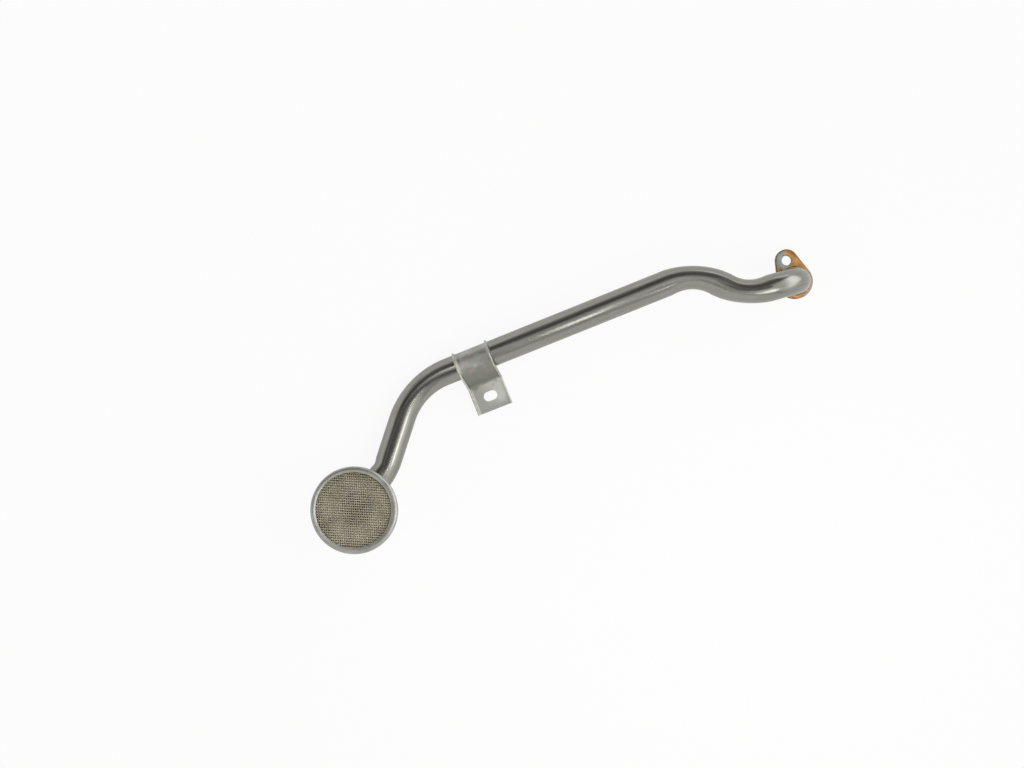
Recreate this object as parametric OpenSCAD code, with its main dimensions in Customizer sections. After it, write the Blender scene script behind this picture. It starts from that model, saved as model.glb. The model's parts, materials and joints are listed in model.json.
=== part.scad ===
// Engine oil pickup tube: a bent steel tube with a bolted flange and spigot at one end,
// a strap bracket on its run and a round strainer cup with a wire screen at the other end.
// The spigot points down (-Z) and the screen faces up (+Z). The origin lies on the spigot's
// axis, in the flange's mating face. Lengths are in millimetres, headings in degrees from +X.

/* [Tube] */
// Outer diameter of the tube
tube_od = 19.05; // [17:0.05:21]
// Wall of the tube
tube_wall = 1.25; // [1:0.05:2]
// Length of the spigot below the flange
spigot_len = 14; // [12:0.5:16]
// Step from the tube down to the spigot, which is sized for its seal
spigot_step = 0.25; // [0.2:0.05:0.4]
// Chamfer round the spigot's end, which leads it into the seal
spigot_lead_in = 0.5; // [0.3:0.1:0.6]

/* [Route] */
// Angle at which the tube falls from the flange elbow to the lower leg
run_fall = 7.5; // [7:0.1:9]
// Heading out of the flange elbow
elbow_heading = 196; // [190:0.5:200]
// Heading between the two turns of the S-bend
s_bend_heading = 157; // [150:0.5:164]
// Heading of the long run
run_heading = 201.75; // [196:0.25:208]
// Heading of the lower leg
leg_heading = 252; // [245:0.5:260]
// Heading of the last stretch, under the strainer cup
inlet_heading = 235; // [228:0.5:242]
// Straight between the flange elbow and the S-bend
elbow_straight = 1; // [0.5:0.5:8]
// Straight between the two turns of the S-bend
s_bend_straight = 5; // [3:0.5:16]
// Straight of the long run
run_straight = 171; // [160:0.5:220]
// Straight of the lower leg
leg_straight = 32; // [20:0.5:60]
// Straight of the last stretch
inlet_straight = 2.5; // [1.5:0.5:15]

/* [Bends] */
// Centreline radius of the elbow over the flange
elbow_r = 20; // [17:0.5:22]
// Centreline radius of both turns of the S-bend
s_bend_r = 47; // [36:0.5:55]
// Centreline radius of the bend from the run into the lower leg
run_bend_r = 57; // [45:0.5:65]
// Centreline radius of the bend from the lower leg to the last stretch
leg_bend_r = 36; // [30:0.5:45]
// Centreline radius of the elbow up into the strainer cup
inlet_r = 25; // [22:0.5:30]
// Loss of metal at the surface of a bend, where tube and strap are drawn
bend_draw = 0.05; // [0.03:0.01:0.15]

/* [Flange] */
// Thickness of the flange plate
flange_t = 5; // [4:0.25:6]
// Radius of the flange's large end, round the tube
flange_end_r = 12.8; // [12.3:0.1:15]
// Radius of the flange's small end, round the bolt hole
flange_ear_r = 8.1; // [6.5:0.1:9]
// Distance from the spigot's axis to the bolt hole
bolt_reach = 16.4; // [15.4:0.1:20]
// Heading of the bolt hole from the spigot's axis
bolt_heading = 112.5; // [60:0.5:150]
// Diameter of the bolt hole
bolt_hole_d = 7.2; // [6.4:0.1:8]

/* [Bracket] */
// Width of the strap along the tube
strap_w = 27; // [22:0.2:32]
// Thickness of the strap
strap_t = 1.5; // [1:0.1:2]
// Height of the strap's side lips above its face
lip_h = 2; // [1.5:0.1:3]
// Inner radius of the fold between face and lip
lip_fold_r = 1; // [0.6:0.1:1.4]
// Distance from the middle of the strap to the bend into the lower leg
strap_from_bend = 22.5; // [18:0.5:90]
// Angle round the tube at which the strap starts, from the side of the tab
wrap_start = 145; // [120:1:160]
// Angle round the tube at which the strap leaves it
wrap_end = 40; // [30:1:50]
// Straight of the sloping web between saddle and tab
web_len = 12.5; // [9:0.25:14]
// Radius of the fold between web and tab, on the face
tab_fold_r = 5; // [4:0.25:7]
// Straight of the flat tab
tab_len = 18.25; // [16:0.25:24]
// Distance from the slot to the end of the tab
slot_from_end = 10.5; // [7:0.1:11]
// Width of the bolt slot
slot_w = 6.9; // [6:0.1:8]
// Length of the bolt slot
slot_len = 10.5; // [9:0.1:13]

/* [Strainer cup] */
// Sheet thickness of the cup
cup_t = 1.2; // [0.8:0.1:1.6]
// Outer radius of the cup's wall
cup_wall_r = 27.2; // [25:0.1:32]
// Depth of the cup from its back to the ledge under the screen
cup_depth = 14; // [11:0.5:20]
// Radius of the corner between back and wall
cup_corner_r = 6; // [4:0.25:8]
// Length of the collar drawn round the tube
collar_len = 6; // [4.5:0.5:8]
// Radius between collar and back
collar_fold_r = 2; // [1:0.25:3]
// Radius of the fold between wall and ledge
ledge_fold_r = 1; // [0.5:0.1:1.5]
// Flat of the ledge that carries the edge of the screen
ledge_w = 0.55; // [0.4:0.05:1.5]
// Reach of the rolled lip over the screen
rim_reach = 2.15; // [1.8:0.05:2.6]
// Height of the tube's open end above the cup's back
tube_proud = 1; // [0.5:0.1:2]

/* [Screen] */
// Diameter of the screen's wire
wire_d = 1; // [0.7:0.05:1.2]
// Spacing of the wires
wire_pitch = 4.9; // [4.6:0.1:6]
// Turn of the weave in the cup
weave_turn = -3; // [-45:1:45]

/* [Joints] */
// Gap left for the brazing metal between tube and fitting
braze_gap = 0.05; // [0.02:0.01:0.1]
// Size of the braze fillet on the flange
flange_fillet = 2; // [1:0.25:2.5]
// Size of the braze fillet under the cup's collar
collar_fillet = 1.5; // [0.75:0.25:2]
// Bite of crossing wires into each other
wire_bite = 0.15; // [0.1:0.05:0.2]
// Clearance of the screen in the folded rim
screen_gap = 0.02; // [0.01:0.01:0.05]

/* [Hidden] */
$fn = 96;
// Sides of one screen wire
wire_sides = 24;
// Facets in each quarter of a folded sheet's corner
fold_steps = 8;
// Facets round the flange's small end
end_steps = 20;
// Length by which a cut runs past the solid that it opens
over = 1;
// Bare tube left between the inlet elbow and the collar's braze
inlet_bare = 1.3;

tube_r = tube_od / 2;
spigot_r = tube_r - spigot_step;
bore_r = tube_r - tube_wall;
fit_r = tube_r + braze_gap;

// The lower leg lies level with the spigot's end, so the part rests on both
leg_z = tube_r - spigot_len;

// Turns at the corners of the route, seen from above, halved
half_s_in = abs(s_bend_heading - elbow_heading) / 2;
half_s_out = abs(run_heading - s_bend_heading) / 2;
half_run = abs(leg_heading - run_heading) / 2;
half_leg = abs(inlet_heading - leg_heading) / 2;

// Distances from corner to corner of the route, seen from above
elbow_reach = elbow_r * tan((90 + run_fall) / 2) * cos(run_fall);
elbow_to_s = elbow_reach + elbow_straight + s_bend_r * tan(half_s_in);
s_to_s = s_bend_r * tan(half_s_in) + s_bend_straight + s_bend_r * tan(half_s_out);
s_to_run = s_bend_r * tan(half_s_out) + run_straight + run_bend_r * tan(half_run);
run_to_leg = run_bend_r * tan(half_run) + leg_straight + leg_bend_r * tan(half_leg);
leg_to_inlet = leg_bend_r * tan(half_leg) + inlet_straight + inlet_r;

// Levels of the strainer end
inlet_neck = inlet_bare + collar_fillet + collar_len + cup_t + tube_proud;
tube_end_z = leg_z + inlet_r + inlet_neck;
cup_back_z = tube_end_z - tube_proud - cup_t;
collar_end_z = cup_back_z - collar_len;
ledge_z = cup_back_z + cup_t + cup_depth;
rim_pocket = 2 * wire_d - wire_bite + 2 * screen_gap;

// Radius at which the screen ends inside the folded rim
screen_edge_r = cup_wall_r + ledge_fold_r + ledge_w;

// Corners of the route, from the spigot's end to the tube's end in the cup
function stride(heading, length, fall) = length * [cos(heading), sin(heading), -tan(fall)];
fall_plan = elbow_to_s + s_to_s + s_to_run;
elbow_corner = [0, 0, leg_z + fall_plan * tan(run_fall)];
s_in_corner = elbow_corner + stride(elbow_heading, elbow_to_s, run_fall);
s_out_corner = s_in_corner + stride(s_bend_heading, s_to_s, run_fall);
run_corner = s_out_corner + stride(run_heading, s_to_run, run_fall);
leg_corner = run_corner + stride(leg_heading, run_to_leg, 0);
cup_corner = leg_corner + stride(inlet_heading, leg_to_inlet, 0);
route = [
    [0, 0, -spigot_len],
    elbow_corner,
    s_in_corner,
    s_out_corner,
    run_corner,
    leg_corner,
    cup_corner,
    cup_corner + [0, 0, inlet_r + inlet_neck],
];
bend_radii = [elbow_r, s_bend_r, s_bend_r, run_bend_r, leg_bend_r, inlet_r];
run_index = 3;
last_index = len(route) - 2;

// Direction of stretch i, turn at corner i and length that the bend takes from each stretch
function unit(v) = v / norm(v);
function aim(i) = unit(route[i + 1] - route[i]);
function turn(i) = acos(aim(i - 1) * aim(i));
function is_bend(i) = i > 0 && i <= last_index;
function setback(i) = is_bend(i) ? bend_radii[i - 1] * tan(turn(i) / 2) : 0;
function straight(i) = norm(route[i + 1] - route[i]) - setback(i) - setback(i + 1);

// Side axis of stretch i, direction from corner i to its bend's centre, and roll before that bend
function across(i) = unit(aim(i) - (aim(i) * aim(i - 1)) * aim(i - 1));
function side(i) = i == 0 ? [1, 0, 0] : cos(turn(i)) * across(i) - sin(turn(i)) * aim(i - 1);
function roll_to(i, v) = atan2(v * cross(aim(i), side(i)), v * side(i));
function roll(i) = roll_to(i - 1, across(i));

// Points of an arc in the plane, without its first point
function arc(centre, r, from, to, steps = fold_steps) = [
    for (k = [1 : steps])
        let (a = from + (to - from) * k / steps)
            centre + r * [cos(a), sin(a)],
];

// Carries its children round a bend about the axis at [r, 0], parallel to Y
module round_bend(r, angle) {
    translate([r, 0, 0])
        rotate([0, angle, 0])
            translate([-r, 0, 0])
                children();
}

// Cuts a half ring about the axis at [r, 0] to the angle of a bend
module trim_bend(r, angle, reach) {
    size = 2 * (abs(r) + reach) + over;
    difference() {
        children();
        round_bend(r, angle)
            translate([r - size / 2, -size / 2, 0])
                cube(size);
    }
}

// Moves its children to the start of stretch i of the route
module at_stretch(i, k = 0) {
    if (k == i)
        children();
    else
        translate([0, 0, straight(k)])
            rotate([0, 0, roll(k + 1)])
                round_bend(bend_radii[k], turn(k + 1))
                    at_stretch(i, k + 1) children();
}

// Round bar of radius r along the route, from stretch k to the end
module route_bar(r, past_end, k = 0) {
    length = straight(k);
    start = k == 0 ? -past_end : 0;
    stop = k == last_index ? length + past_end : length;
    translate([0, 0, start])
        cylinder(r = r, h = stop - start);
    if (k < last_index)
        translate([0, 0, length])
            rotate([0, 0, roll(k + 1)]) {
                bend_bar(bend_radii[k], turn(k + 1), r - bend_draw);
                round_bend(bend_radii[k], turn(k + 1))
                    route_bar(r, past_end, k + 1);
            }
}

// One bend of a round bar
module bend_bar(bend_r, angle, r) {
    trim_bend(bend_r, angle, r)
        translate([bend_r, 0, 0])
            rotate([90, 0, 180])
                rotate_extrude(angle = 180)
                    translate([bend_r, 0])
                        circle(r);
}

// Ring of brazing metal in the corner of a tube and a face at z = 0
module braze_fillet(size) {
    rotate_extrude()
        polygon(concat([[tube_r, 0]], [[tube_r + size, 0]], arc([tube_r + size, size], size, 270, 180)));
}

// Bent tube with a spigot sized and chamfered at its end
module pickup_tube() {
    color("silver")
        difference() {
            translate([0, 0, -spigot_len])
                difference() {
                    route_bar(tube_r, 0);
                    route_bar(bore_r, over);
                }
            spigot_cut();
        }
}

// Metal turned off the tube's end: a step at the mating face, the spigot's length and its chamfer
module spigot_cut() {
    tip_r = spigot_r - spigot_lead_in;
    rotate_extrude()
        polygon([
            [tip_r, -spigot_len],
            [spigot_r, spigot_lead_in - spigot_len],
            [spigot_r, -spigot_step],
            [tube_r + over, over],
            [tube_r + over, -spigot_len - over],
            [tip_r, -spigot_len - over],
        ]);
}

// Teardrop plate brazed on the tube, with one bolt hole
module mounting_flange() {
    ear = bolt_reach * [cos(bolt_heading), sin(bolt_heading)];
    color("peru")
        difference() {
            linear_extrude(flange_t)
                teardrop(ear);
            translate([0, 0, -over])
                cylinder(r = fit_r, h = flange_t + 2 * over);
            translate([ear.x, ear.y, -over])
                cylinder(d = bolt_hole_d, h = flange_t + 2 * over);
        }
}

// Outline of two round ends joined by their common tangents
module teardrop(ear) {
    lean = acos((flange_end_r - flange_ear_r) / bolt_reach);
    polygon(concat(
        arc(ear, flange_ear_r, bolt_heading - lean, bolt_heading + lean, end_steps),
        [flange_end_r * [cos(bolt_heading + lean), sin(bolt_heading + lean)]],
        arc([0, 0], flange_end_r, bolt_heading + lean, bolt_heading + 360 - lean, 2 * end_steps),
        [ear + flange_ear_r * [cos(bolt_heading - lean), sin(bolt_heading - lean)]]
    ));
}

module flange_braze() {
    color("sandybrown")
        translate([0, 0, flange_t])
            braze_fillet(flange_fillet);
}

// Section of the strap: a folded channel with x from its inner face and y along the tube.
// In a bend the sheet is drawn thinner on each side.
function strap_half(draw) = let (
    edge = strap_w / 2,
    outer_fold = lip_fold_r + strap_t,
    centre = [outer_fold, edge - outer_fold],
    lip_top = strap_t + lip_h - draw
) concat(
    [[draw, centre.y]],
    arc(centre, outer_fold - draw, 180, 90),
    [[lip_top, edge - draw], [lip_top, edge - strap_t + draw]],
    [[centre.x, edge - strap_t + draw]],
    arc(centre, lip_fold_r + draw, 90, 180)
);
function flip(points) = [for (k = [len(points) - 1 : -1 : 0]) [points[k].x, -points[k].y]];

module strap_section(draw = 0) {
    polygon(concat(strap_half(draw), flip(strap_half(draw))));
}

// Channel strap: saddle on the tube, sloping web and flat tab with a bolt slot
module support_bracket() {
    up = [0, 0, 1] - (aim(run_index).z) * aim(run_index);
    saddle_turn = wrap_end - wrap_start;
    color("lightgray")
        translate([0, 0, -spigot_len])
            at_stretch(run_index)
                translate([0, 0, straight(run_index) - strap_from_bend])
                    rotate([0, 0, roll_to(run_index, up) + wrap_start - 90])
                        translate([fit_r, 0, 0])
                            rotate([90, 0, 0]) {
                                strap_bend(-fit_r, saddle_turn);
                                round_bend(-fit_r, saddle_turn)
                                    web_and_tab();
                            }
}

// One bend of the strap about the axis at [r, 0], on either side of its face
module strap_bend(r, angle) {
    trim_bend(r, angle, strap_w)
        translate([r, 0, 0])
            rotate([90, 0, r > 0 ? 180 : 0])
                rotate_extrude(angle = 180)
                    translate([abs(r), 0])
                        mirror([r > 0 ? 1 : 0, 0])
                            strap_section(bend_draw);
}

module web_and_tab() {
    fold_r = tab_fold_r + strap_t;
    fold_turn = 90 - wrap_end;
    linear_extrude(web_len)
        strap_section();
    translate([0, 0, web_len]) {
        strap_bend(fold_r, fold_turn);
        round_bend(fold_r, fold_turn)
            difference() {
                linear_extrude(tab_len)
                    strap_section();
                translate([-over, 0, tab_len - slot_from_end])
                    bolt_slot(strap_t + 2 * over);
            }
    }
}

// Slot along Y, cut through along X
module bolt_slot(depth) {
    half_span = (slot_len - slot_w) / 2;
    for (s = [-1, 1])
        translate([0, s * half_span, 0])
            rotate([0, 90, 0])
                cylinder(d = slot_w, h = depth);
    translate([0, -half_span, -slot_w / 2])
        cube([depth, 2 * half_span, slot_w]);
}

// Pressed cup: collar, back, wall, ledge and a rim folded over the edge of the screen
module strainer_cup() {
    collar_r = fit_r + cup_t;
    hem_r = screen_edge_r;
    hem_z = ledge_z + rim_pocket / 2;
    hem_outer = rim_pocket / 2 + cup_t;
    open_r = hem_r - rim_reach;
    lip_z = ledge_z + rim_pocket;
    collar_fold = [collar_r + collar_fold_r, cup_back_z - collar_fold_r];
    back_fold = [cup_wall_r - cup_corner_r, cup_back_z + cup_corner_r];
    ledge_fold = [cup_wall_r + ledge_fold_r, ledge_z - cup_t - ledge_fold_r];
    color("gainsboro")
        translate([cup_corner.x, cup_corner.y, 0])
            rotate_extrude()
                polygon(concat(
                    [[fit_r, collar_end_z], [collar_r, collar_end_z], [collar_r, collar_fold.y]],
                    arc(collar_fold, collar_fold_r, 180, 90),
                    [[back_fold.x, cup_back_z]],
                    arc(back_fold, cup_corner_r, 270, 360),
                    [[cup_wall_r, ledge_fold.y]],
                    arc(ledge_fold, ledge_fold_r, 180, 90),
                    [[hem_r, ledge_z - cup_t]],
                    arc([hem_r, hem_z], hem_outer, -90, 90, 2 * fold_steps),
                    [[open_r + cup_t / 2, lip_z + cup_t]],
                    arc([open_r + cup_t / 2, lip_z + cup_t / 2], cup_t / 2, 90, 270),
                    [[hem_r, lip_z]],
                    arc([hem_r, hem_z], rim_pocket / 2, 90, -90),
                    [[ledge_fold.x, ledge_z]],
                    arc(ledge_fold, ledge_fold_r + cup_t, 90, 180),
                    [[cup_wall_r - cup_t, back_fold.y]],
                    arc(back_fold, cup_corner_r - cup_t, 360, 270),
                    [[collar_fold.x, cup_back_z + cup_t]],
                    arc(collar_fold, collar_fold_r + cup_t, 90, 180)
                ));
}

module collar_braze() {
    color("sandybrown")
        translate([cup_corner.x, cup_corner.y, collar_end_z])
            mirror([0, 0, 1])
                braze_fillet(collar_fillet);
}

// Two crossing layers of wire, pressed into each other
module screen() {
    lower_z = ledge_z + screen_gap + wire_d / 2;
    color("darkkhaki")
        translate([cup_corner.x, cup_corner.y, lower_z])
            rotate([0, 0, weave_turn]) {
                wire_layer();
                translate([0, 0, wire_d - wire_bite])
                    rotate([0, 0, 90])
                        wire_layer();
            }
}

module wire_layer() {
    count = floor((screen_edge_r - wire_d) / wire_pitch);
    for (k = [-count : count]) {
        half = sqrt(pow(screen_edge_r, 2) - pow(abs(k) * wire_pitch + wire_d / 2, 2));
        translate([-half, k * wire_pitch, 0])
            rotate([0, 90, 0])
                cylinder(d = wire_d, h = 2 * half, $fn = wire_sides);
    }
}

pickup_tube();
mounting_flange();
flange_braze();
support_bracket();
strainer_cup();
collar_braze();
screen();
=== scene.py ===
"""Looks of an engine oil pickup tube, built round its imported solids. Lengths are in metres."""
import json
import math

import bmesh
import bpy
import numpy as np
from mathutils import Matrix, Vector


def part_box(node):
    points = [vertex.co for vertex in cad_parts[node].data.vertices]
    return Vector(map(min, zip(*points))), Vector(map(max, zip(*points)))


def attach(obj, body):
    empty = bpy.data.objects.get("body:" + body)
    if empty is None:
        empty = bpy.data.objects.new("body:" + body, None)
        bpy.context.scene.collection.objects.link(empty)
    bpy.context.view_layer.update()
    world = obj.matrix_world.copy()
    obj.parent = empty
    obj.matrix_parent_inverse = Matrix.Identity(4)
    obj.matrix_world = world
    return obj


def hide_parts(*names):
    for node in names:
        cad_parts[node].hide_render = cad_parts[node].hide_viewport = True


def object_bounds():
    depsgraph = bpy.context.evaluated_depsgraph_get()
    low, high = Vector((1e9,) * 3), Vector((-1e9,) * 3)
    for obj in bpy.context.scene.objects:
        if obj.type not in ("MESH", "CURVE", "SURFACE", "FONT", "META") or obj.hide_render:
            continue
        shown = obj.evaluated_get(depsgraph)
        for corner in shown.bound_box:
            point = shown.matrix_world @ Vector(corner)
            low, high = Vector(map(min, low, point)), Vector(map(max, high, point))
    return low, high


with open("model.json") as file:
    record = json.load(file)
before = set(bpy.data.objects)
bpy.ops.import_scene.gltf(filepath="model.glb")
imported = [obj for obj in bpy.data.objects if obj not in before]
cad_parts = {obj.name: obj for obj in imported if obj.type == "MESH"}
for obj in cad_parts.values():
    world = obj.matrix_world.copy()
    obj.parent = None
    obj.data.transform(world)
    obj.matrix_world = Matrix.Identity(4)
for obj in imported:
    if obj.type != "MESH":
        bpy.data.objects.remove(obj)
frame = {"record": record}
cad_low, cad_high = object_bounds()

MM = 0.001
MOUNTS = {mount["name"]: mount for mount in frame["record"]["mounts"]}


def mount_size(name, size):
    """A size of one of the record's mounts, in metres."""
    return MOUNTS[name]["dims"][size] * MM


# Tube and its route, seen from above, with headings in degrees from +X
TUBE_R = 9.525 * MM
BORE_R = mount_size("outlet_bore", "r_mm")
SPIGOT_R = mount_size("spigot", "r_mm")
SPIGOT_LEAD_IN = 0.5 * MM
SPIGOT_STEP = TUBE_R - SPIGOT_R
RUN_FALL = math.radians(7.5)
HEADINGS = [196, 157, 201.75, 252, 235]
STRAIGHTS = [1 * MM, 5 * MM, 171 * MM, 32 * MM, 2.5 * MM]
PLAN_BEND_RADII = [47 * MM, 47 * MM, 57 * MM, 36 * MM]
ELBOW_R = 20 * MM
INLET_R = 25 * MM
FALLING_STRETCHES = 3
# Shares by which each bend's section is drawn in on its inner and on its outer side
DRAWN_INNER = [0, 0.15, 0.15, 0.06, 0.06, 0]
DRAWN_OUTER = [0, 0.08, 0.08, 0.02, 0.02, 0]
RUN_INDEX = 3
BRAZE_GAP = 0.05 * MM
FIT_R = TUBE_R + BRAZE_GAP

# Flange
FLANGE_END_R = 12.8 * MM
FLANGE_EAR_R = 8.1 * MM
FLANGE_EDGE = 0.5 * MM
# Shares of that edge's rounding at the two holes
TUBE_HOLE_EDGE = 0.3
BOLT_HOLE_EDGE = 0.6
BOLT_HOLE_R = mount_size("flange_bolt", "r_mm")
BOLT_CENTRE = Vector(MOUNTS["flange_bolt"]["pos_m"])

# Braze rings: share of the solid's fillet, waves round the edge and range of their shares
BRAZE_SPREAD = 0.93
BRAZE_WAVES = (2, 3, 5, 8, 13)
BRAZE_WAVE_SHARES = (0.01, 0.035)
FLANGE_BRAZE_SEED = 3
COLLAR_BRAZE_SEED = 7

# Bracket, with angles round the tube in degrees from the side of the tab
STRAP_W = 27 * MM
STRAP_T = 1.5 * MM
LIP_H = 2 * MM
LIP_FOLD_R = 1 * MM
LIP_EDGE = 0.3 * MM
STRAP_FROM_BEND = 22.5 * MM
WRAP_START = 145
WRAP_END = 40
WEB_LEN = 12.5 * MM
TAB_FOLD_R = 5 * MM
TAB_LEN = 18.25 * MM
SLOT_CENTRE = Vector(MOUNTS["bracket_slot"]["pos_m"])
SLOT_R = mount_size("bracket_slot", "hole_r_mm")
SLOT_LEN = mount_size("bracket_slot", "slot_length_mm")

# Strainer cup, with a rim whose lip reaches in by less on its short side
CUP_T = 1.2 * MM
CUP_WALL_R = 27.2 * MM
CUP_DEPTH = 14 * MM
CUP_CORNER_R = 6 * MM
COLLAR_LEN = 6 * MM
COLLAR_FOLD_R = 2 * MM
LEDGE_FOLD_R = 1 * MM
LEDGE_W = 0.55 * MM
RIM_REACH = 2.15 * MM
RIM_UNEVEN = 0.55 * MM
RIM_SHORT_SIDE = math.radians(152)
RIM_EDGE_R = 0.36 * MM
TUBE_PROUD = 1 * MM
SCREEN_EDGE_R = CUP_WALL_R + LEDGE_FOLD_R + LEDGE_W

# Screen weave: stout wires in rows along X, thin wires in columns between them
ROW_WIRE_D = 0.9 * MM
ROW_PITCH = 1.75 * MM
ROW_CRIMP = 0.25 * MM
COLUMN_WIRE_D = 0.6 * MM
COLUMN_PITCH = 1.3 * MM
COLUMN_CRIMP = 0.38 * MM
WEAVE_TURN = -3
WIRE_INSET = 0.2 * MM

# Levels and centres that the solids give
cup_low, cup_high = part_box("strainer_cup")
CUP_X = (cup_low.x + cup_high.x) / 2
CUP_Y = (cup_low.y + cup_high.y) / 2
COLLAR_END_Z = cup_low.z
CUP_BACK_Z = COLLAR_END_Z + COLLAR_LEN
LEDGE_Z = CUP_BACK_Z + CUP_T + CUP_DEPTH
RIM_POCKET = cup_high.z - CUP_T - LEDGE_Z
FLOOR_Z = cad_low.z
FLANGE_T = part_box("mounting_flange")[1].z
LEG_Z = FLOOR_Z + TUBE_R
TUBE_END_Z = CUP_BACK_Z + CUP_T + TUBE_PROUD

# Fineness of the meshes
TUBE_SIDES = 96
BEND_STEP = math.radians(2.5)
STRAIGHT_STEP = 5 * MM
LATHE_SIDES = 192
FOLD_STEPS = 10
LIP_EDGE_STEPS = 4
WIRE_SIDES = 6
STEPS_PER_CROSSING = 5
SHARP_ANGLE = math.radians(32)
WELD_DISTANCE = 1e-7


def flat(degrees):
    """Level unit vector at a heading."""
    a = math.radians(degrees)
    return Vector((math.cos(a), math.sin(a), 0))


def arc(centre, radius, start, stop, steps=FOLD_STEPS):
    """Points of an arc in a plane, without its first point; angles in degrees."""
    angles = [math.radians(start + (stop - start) * k / steps) for k in range(1, steps + 1)]
    return [(centre[0] + radius * math.cos(a), centre[1] + radius * math.sin(a)) for a in angles]


# Route of the tube

def route_corners():
    """Corners of the tube's centreline, from the spigot's end to the open end in the cup."""
    half_turns = [math.radians(abs(b - a) / 2) for a, b in zip(HEADINGS, HEADINGS[1:])]
    elbow_reach = ELBOW_R * math.tan(math.pi / 4 + RUN_FALL / 2) * math.cos(RUN_FALL)
    bend_reach = [r * math.tan(t) for r, t in zip(PLAN_BEND_RADII, half_turns)]
    reaches = [elbow_reach, *bend_reach, INLET_R]
    lengths = [reaches[i] + STRAIGHTS[i] + reaches[i + 1] for i in range(len(STRAIGHTS))]
    drop = math.tan(RUN_FALL)
    corner = Vector((0, 0, LEG_Z + sum(lengths[:FALLING_STRETCHES]) * drop))
    corners = [Vector((0, 0, FLOOR_Z)), corner]
    for i, length in enumerate(lengths):
        fall = length * drop if i < FALLING_STRETCHES else 0
        corner = corner + flat(HEADINGS[i]) * length - Vector((0, 0, fall))
        corners.append(corner)
    corners.append(Vector((corner.x, corner.y, TUBE_END_Z)))
    return corners


def bend_parts(corners, radii):
    """For each inner corner: start of the bend, direction in, direction to its centre, turn and radius."""
    parts = []
    for before, corner, after, radius in zip(corners, corners[1:], corners[2:], radii):
        way_in = (corner - before).normalized()
        way_out = (after - corner).normalized()
        turn = way_in.angle(way_out)
        start = corner - way_in * radius * math.tan(turn / 2)
        inward = (way_out - way_in * way_out.dot(way_in)).normalized()
        parts.append((start, way_in, inward, turn, radius))
    return parts


def along_straight(start, stop):
    """Evenly spaced points from start up to stop, without stop."""
    count = max(1, round((stop - start).length / STRAIGHT_STEP))
    return [start.lerp(stop, k / count) for k in range(count)]


def round_bend(part):
    """Points round a bend without its last, each with the direction to the centre and its share of the
    drawing-in."""
    start, way_in, inward, turn, radius = part
    count = max(2, round(turn / BEND_STEP))
    stations = []
    for k in range(count):
        a = turn * k / count
        point = start + radius * (way_in * math.sin(a) + inward * (1 - math.cos(a)))
        stations.append((point, inward * math.cos(a) - way_in * math.sin(a), math.sin(math.pi * k / count)))
    return stations


def bend_end(part):
    """Point at which a bend runs out."""
    start, way_in, inward, turn, radius = part
    return start + radius * (way_in * math.sin(turn) + inward * (1 - math.cos(turn)))


def centreline(corners, bends):
    """Stations of the tube's centreline: point, girth, direction to the bend's centre, and shares drawn in on
    the inner and outer side."""
    idle = Vector((0, 0, 0))
    tip = (SPIGOT_R - SPIGOT_LEAD_IN) / TUBE_R
    spigot = SPIGOT_R / TUBE_R
    levels = [(FLOOR_Z, tip), (FLOOR_Z + SPIGOT_LEAD_IN, spigot), (-SPIGOT_STEP, spigot)]
    stations = [(Vector((0, 0, z)), girth, idle, 0, 0) for z, girth in levels]
    last = Vector((0, 0, 0))
    for part, inner, outer in zip(bends, DRAWN_INNER, DRAWN_OUTER):
        stations += [(point, 1, idle, 0, 0) for point in along_straight(last, part[0])]
        stations += [(point, 1, way, inner * share, outer * share) for point, way, share in round_bend(part)]
        last = bend_end(part)
    points = along_straight(last, corners[-1]) + [corners[-1]]
    return stations + [(point, 1, idle, 0, 0) for point in points]


# Making meshes

def new_piece(name, data):
    """Object in the scene that holds a mesh, a lamp or a camera."""
    piece = bpy.data.objects.new(name, data)
    bpy.context.scene.collection.objects.link(piece)
    return piece


def soft_shaded(mesh):
    """Smooth shading that breaks at real edges."""
    mesh.shade_smooth()
    mesh.set_sharp_from_angle(angle=SHARP_ANGLE)


def closed_piece(name, build):
    """Piece of the closed shell that build fills in, with its faces turned outwards."""
    shell = bmesh.new()
    build(shell)
    bmesh.ops.remove_doubles(shell, verts=shell.verts, dist=WELD_DISTANCE)
    bmesh.ops.recalc_face_normals(shell, faces=shell.faces)
    mesh = bpy.data.meshes.new(name)
    shell.to_mesh(mesh)
    shell.free()
    soft_shaded(mesh)
    return new_piece(name, mesh)


def add_rings(shell, rings, closed=False):
    """Walls between rings of points, each joined to the next and, where closed, the last to the first."""
    loops = [[shell.verts.new(point) for point in ring] for ring in rings]
    followers = loops[1:] + loops[:1] if closed else loops[1:]
    for lower, upper in zip(loops, followers):
        count = len(lower)
        for k in range(count):
            n = (k + 1) % count
            shell.faces.new((lower[k], lower[n], upper[n], upper[k]))
    return loops


def loop_edges(loop):
    """Edges between the neighbours of a closed loop of vertices."""
    pairs = zip(loop, loop[1:] + loop[:1])
    return [edge for a, b in pairs for edge in a.link_edges if edge.other_vert(a) is b]


def lathe(name, axis, profile_at):
    """Ring about an upright axis; profile_at gives its closed profile of (radius, height) points at an angle."""
    def build(shell):
        rings = []
        for k in range(LATHE_SIDES):
            a = 2 * math.pi * k / LATHE_SIDES
            c, s = math.cos(a), math.sin(a)
            rings.append([(axis[0] + r * c, axis[1] + r * s, z) for r, z in profile_at(a)])
        add_rings(shell, rings, closed=True)
    return closed_piece(name, build)


def plain_mesh(source, name):
    """Plain piece of what a source object's modifiers make; the source is removed."""
    graph = bpy.context.evaluated_depsgraph_get()
    mesh = bpy.data.meshes.new_from_object(source.evaluated_get(graph))
    bpy.data.objects.remove(source)
    mesh.name = name
    return new_piece(name, mesh)


# Node trees

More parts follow.
